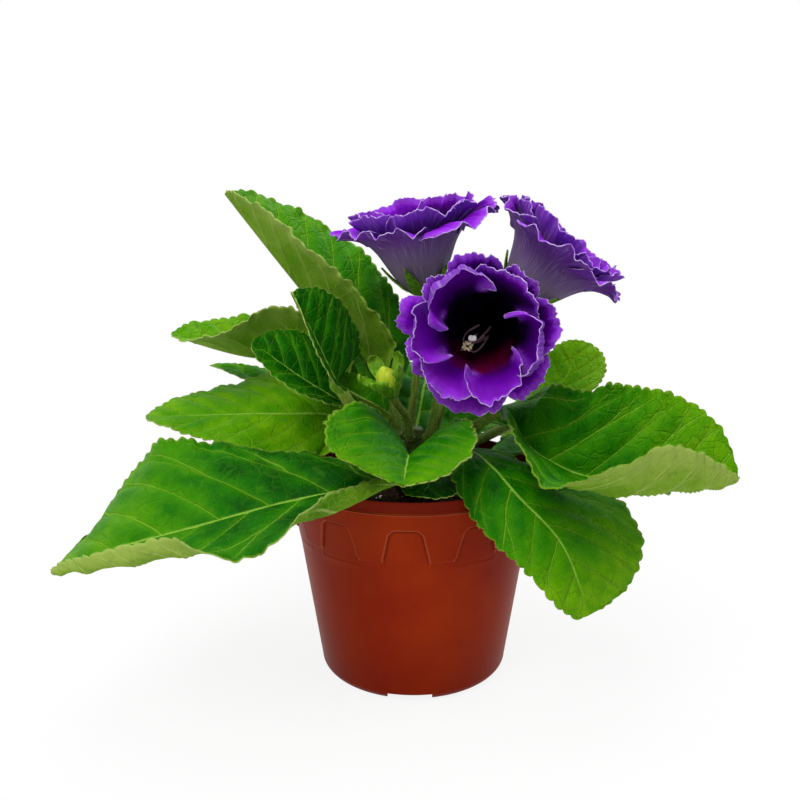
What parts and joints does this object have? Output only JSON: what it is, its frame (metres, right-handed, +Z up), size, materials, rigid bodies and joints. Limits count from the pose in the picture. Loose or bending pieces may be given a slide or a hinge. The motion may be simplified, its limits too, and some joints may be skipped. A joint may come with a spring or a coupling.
{
  "type": "potted gloxinia",
  "caption": "Potted gloxinia: a rosette of broad velvety scalloped leaves and ruffled double violet bell flowers in a tapered plastic nursery pot.",
  "frame": {"origin": "centre of the flat underside of the pot", "axes": "+Z up along the pot's axis, the plant's front looks along -Y, +X to the right as seen from the front"},
  "size_m": [0.2891, 0.2287, 0.229],
  "materials": {
    "pot_plastic": "satin terracotta-brown",
    "potting_mix": "rough, dark",
    "crown_skin": "matte",
    "leaf": "velvety",
    "petal": "soft",
    "petal_inner": "soft",
    "calyx": "velvety",
    "stamen": "matte",
    "pistil": "matte",
    "flower_stalk": "velvety",
    "bud": "velvety"
  },
  "bodies": {
    "root": {"bud": "bud", "bud_calyx": "calyx", "bud_stalk": "flower_stalk", "calyx_front": "calyx", "calyx_left": "calyx", "calyx_right": "calyx", "corolla_inner_front": "petal_inner", "corolla_inner_left": "petal_inner", "corolla_inner_right": "petal_inner", "corolla_outer_front": "petal", "corolla_outer_left": "petal", "corolla_outer_right": "petal", "crown": "crown_skin", "flower_stalk_front": "flower_stalk", "flower_stalk_left": "flower_stalk", "flower_stalk_right": "flower_stalk", "leaf_back": "leaf", "leaf_back_far_left": "leaf", "leaf_back_far_right": "leaf", "leaf_back_left": "leaf", "leaf_back_right": "leaf", "leaf_front": "leaf", "leaf_front_left": "leaf", "leaf_front_right": "leaf", "leaf_inner": "leaf", "leaf_left_low": "leaf", "leaf_left_mid": "leaf", "leaf_left_small": "leaf", "leaf_right": "leaf", "leaf_right_back": "leaf", "leaf_right_small": "leaf", "leaf_under_front": "leaf", "leaf_upper_left": "leaf", "leaf_upright": "leaf", "pistil_front": "pistil", "pistil_left": "pistil", "pistil_right": "pistil", "pot": "pot_plastic", "potting_mix": "potting_mix", "stamens_front": "stamen", "stamens_left": "stamen", "stamens_right": "stamen"}
  },
  "joints": []
}
